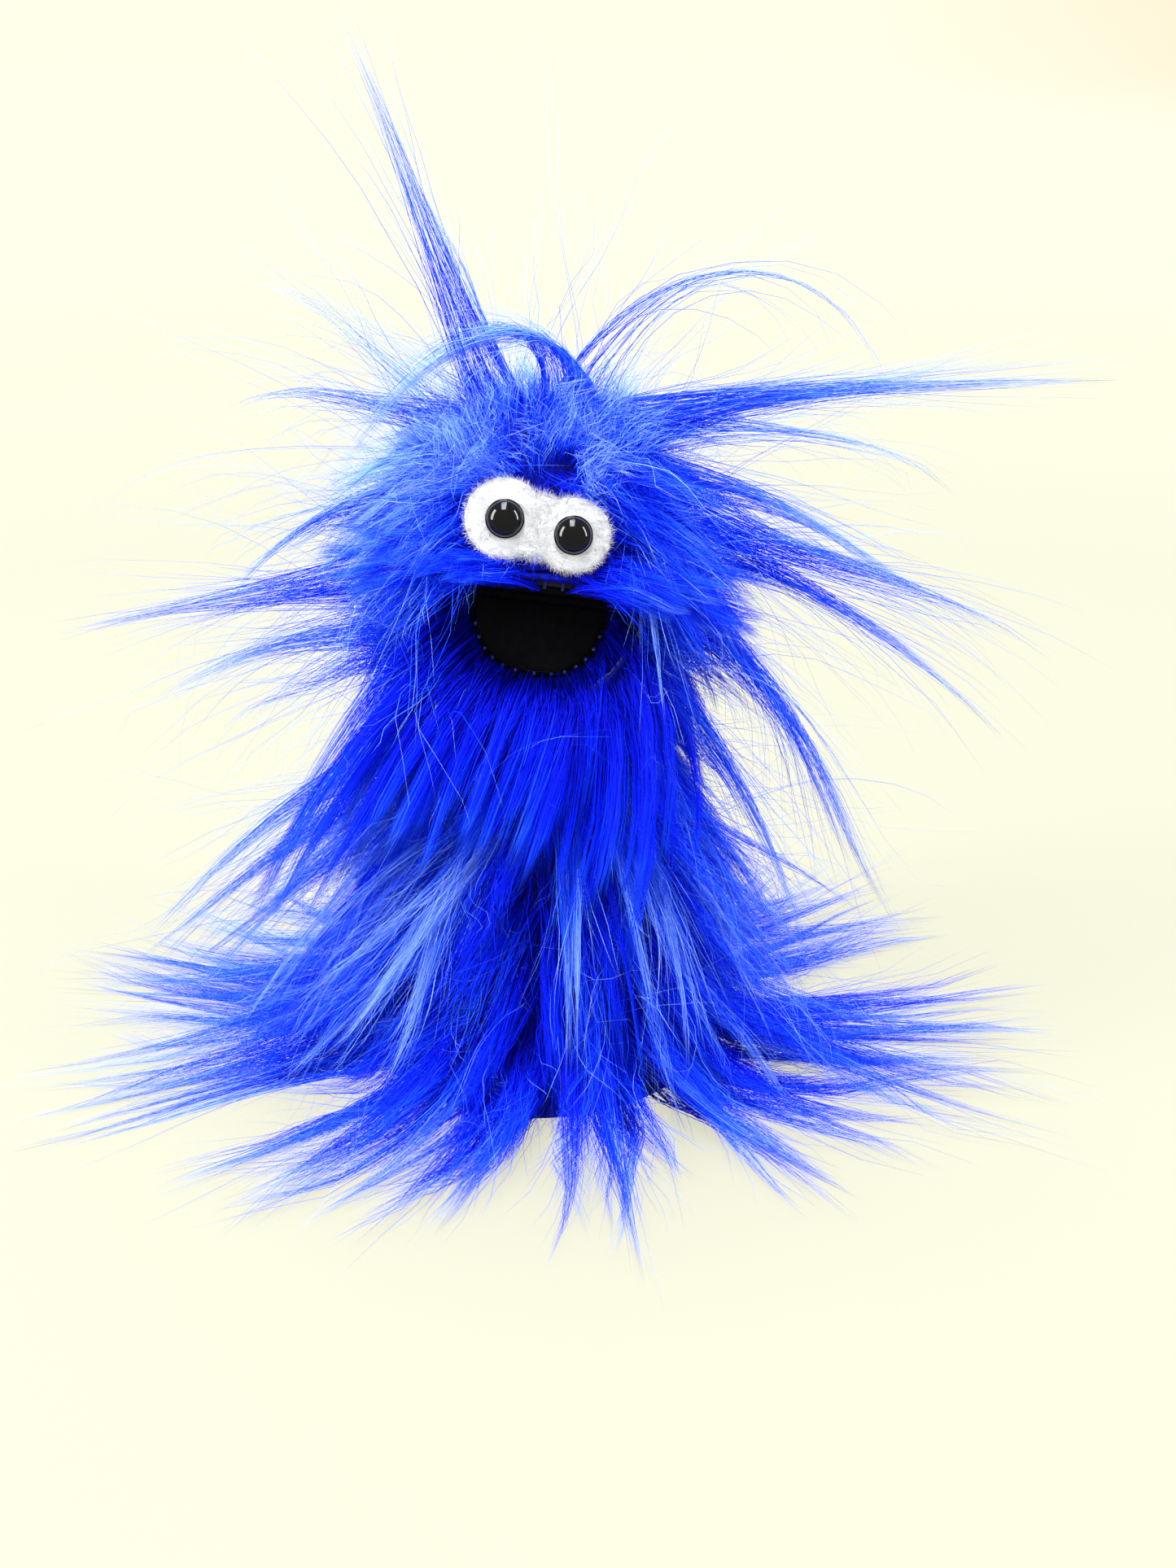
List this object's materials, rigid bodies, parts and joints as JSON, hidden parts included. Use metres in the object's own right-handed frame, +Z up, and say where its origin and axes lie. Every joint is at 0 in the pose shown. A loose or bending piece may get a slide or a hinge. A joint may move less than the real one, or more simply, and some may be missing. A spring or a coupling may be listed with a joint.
{
  "type": "moving mouth puppet",
  "caption": "Small hand puppet in long-pile blue fur with a felt-lined mouth that opens and shuts, a white felt eye patch and domed black eyes.",
  "frame": {"origin": "on the sleeve's axis at the hem's bottom edge, where the puppet stands", "axes": "+Z up along the sleeve's axis, the face looks towards -Y, +X is to the right as seen from the front"},
  "size_m": [0.3, 0.3, 0.2904],
  "materials": {
    "long_fur": "long loose craft-fur pile, deep blue at the roots and pale blue at the tips",
    "backing_cloth": "knitted backing of the fur, dark blue",
    "white_felt": "fuzzy white felt",
    "black_felt": "matte black felt",
    "eye_plastic": "polished black plastic dome",
    "washer_plastic": "natural moulded plastic",
    "mouth_board": "stiff grey sheet",
    "elastic": "black ribbed elastic",
    "thread": "sewing thread",
    "stuffing": "white polyester fibre"
  },
  "bodies": {
    "sleeve": {"sleeve_cloth": "backing_cloth", "hem_band": "backing_cloth", "hem_stitches": "thread", "back_seam": "backing_cloth", "skirt_pile": "long_fur", "sleeve_pile": "long_fur", "flank_locks_left": "long_fur", "flank_locks_right": "long_fur"},
    "neck": {"neck_cloth": "backing_cloth", "neck_pile": "long_fur"},
    "head": {"head_cloth": "backing_cloth", "head_seam": "backing_cloth", "crown_stuffing": "stuffing", "eye_patch": "white_felt", "eye_left": "eye_plastic", "eye_right": "eye_plastic", "eye_washer_left": "washer_plastic", "eye_washer_right": "washer_plastic", "upper_mouth_board": "mouth_board", "upper_palate_felt": "black_felt", "mouth_fold": "black_felt", "finger_strap": "elastic", "upper_lip_stitches": "thread", "head_pile": "long_fur", "topknot_pile": "long_fur", "crown_lock": "long_fur", "arch_lock": "long_fur", "head_locks_left": "long_fur", "head_locks_right": "long_fur"},
    "jaw": {"lower_mouth_board": "mouth_board", "lower_palate_felt": "black_felt", "thumb_strap": "elastic", "chin_cloth": "backing_cloth", "chin_pile": "long_fur", "lower_lip_stitches": "thread"}
  },
  "joints": [
    {"name": "head_turn", "type": "hinge", "parent": "sleeve", "child": "neck", "pos_m": [0, 0, 0.111], "axis": [0, 0, 1], "range_deg": [-25, 25], "stiffness_Nm_per_rad": 0.15},
    {"name": "head_nod", "type": "hinge", "parent": "neck", "child": "head", "pos_m": [0, 0, 0.111], "axis": [1, 0, 0], "range_deg": [-15, 15], "stiffness_Nm_per_rad": 1.5, "deforming": ["neck_cloth", "neck_pile"]},
    {"name": "mouth_hinge", "type": "hinge", "parent": "head", "child": "jaw", "pos_m": [0.0016, -0.013, 0.142], "axis": [0.9925, 0, -0.1219], "range_deg": [-76, 12], "stiffness_Nm_per_rad": 0.05}
  ]
}
